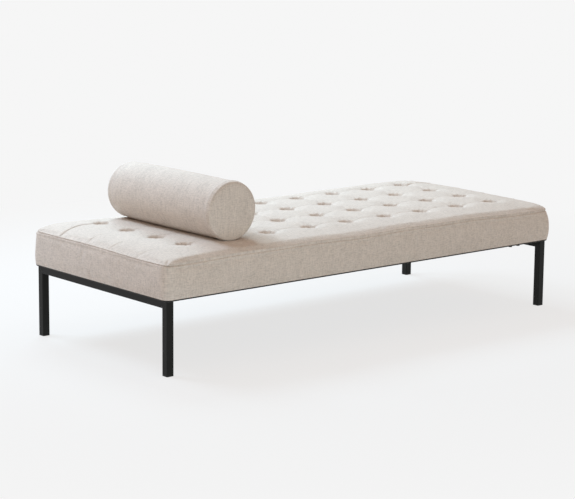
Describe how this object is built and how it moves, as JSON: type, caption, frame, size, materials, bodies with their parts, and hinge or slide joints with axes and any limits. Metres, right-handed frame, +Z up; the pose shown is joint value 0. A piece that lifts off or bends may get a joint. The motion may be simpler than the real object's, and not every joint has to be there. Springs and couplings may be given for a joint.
{
  "type": "daybed",
  "caption": "Deep-tufted upholstered daybed on a square-tube steel frame, with a loose round bolster at the head end.",
  "frame": {"origin": "on the floor, under the middle of the bed", "axes": "+X along the length, away from the head end where the bolster lies; the front long side faces -Y; +Z up"},
  "size_m": [1.986, 0.862, 0.659],
  "materials": {
    "black_steel": "matte",
    "foot_plastic": "matte",
    "zinc_hardware": "satin",
    "pine": "matte",
    "plywood": "matte",
    "dust_cloth": "matte",
    "foam": "matte",
    "twine": "matte",
    "zip_tape": "matte",
    "cover_linen": "matte",
    "bolster_linen": "matte"
  },
  "bodies": {
    "bed": {"leg_front_left": "black_steel", "leg_back_left": "black_steel", "leg_front_right": "black_steel", "leg_back_right": "black_steel", "end_rail_left": "black_steel", "end_rail_right": "black_steel", "side_rail_front": "black_steel", "side_rail_back": "black_steel", "joining_stubs": "black_steel", "foot_front_left": "foot_plastic", "foot_back_left": "foot_plastic", "foot_front_right": "foot_plastic", "foot_back_right": "foot_plastic", "platform_bolts": "zinc_hardware", "bolt_washers": "zinc_hardware", "t_nuts": "zinc_hardware", "base_board_front": "pine", "base_board_back": "pine", "base_board_left": "pine", "base_board_right": "pine", "bearer_left": "pine", "bearer_right": "pine", "brace_left": "pine", "brace_right": "pine", "deck_panel": "plywood", "deck_screws": "zinc_hardware", "dust_cover": "dust_cloth", "foam_block": "foam", "side_band": "cover_linen", "tufted_top": "cover_linen", "tufting_ties": "twine", "tie_washers": "foot_plastic"},
    "bolster": {"bolster_cover": "bolster_linen", "bolster_end_front": "bolster_linen", "bolster_end_back": "bolster_linen", "bolster_core": "foam", "bolster_zip": "zip_tape"}
  },
  "joints": [
    {"name": "bolster_lift", "type": "slide", "parent": "bed", "child": "bolster", "axis": [0, 0, 1], "range_m": [0, 0.3]}
  ]
}
